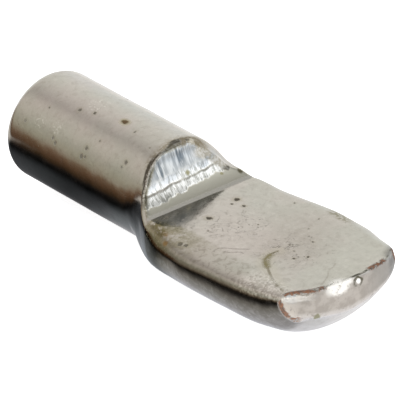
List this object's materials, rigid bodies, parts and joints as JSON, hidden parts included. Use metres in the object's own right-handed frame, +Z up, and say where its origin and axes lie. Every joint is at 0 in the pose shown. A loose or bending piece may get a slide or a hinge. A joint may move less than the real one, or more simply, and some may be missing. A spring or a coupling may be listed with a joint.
{
  "type": "shelf support pin",
  "caption": "Spoon-type shelf support pin: a round push-in shank and a wider flat-topped paddle that carries the shelf edge.",
  "frame": {"origin": "on the shank axis, where the shank enters the mouth of its hole, 3 mm behind the foot of the shoulder", "axes": "+X along the shank axis out of the cabinet side toward the paddle tip, +Z up, square to the flat, +Y across the paddle"},
  "size_m": [0.0254, 0.0094, 0.0067],
  "materials": {
    "plated_steel": "worn bright nickel plate with small pits, scratches, dirt and rust at the sheared tip"
  },
  "bodies": {
    "root": {"shelf_pin": "plated_steel"}
  },
  "joints": []
}
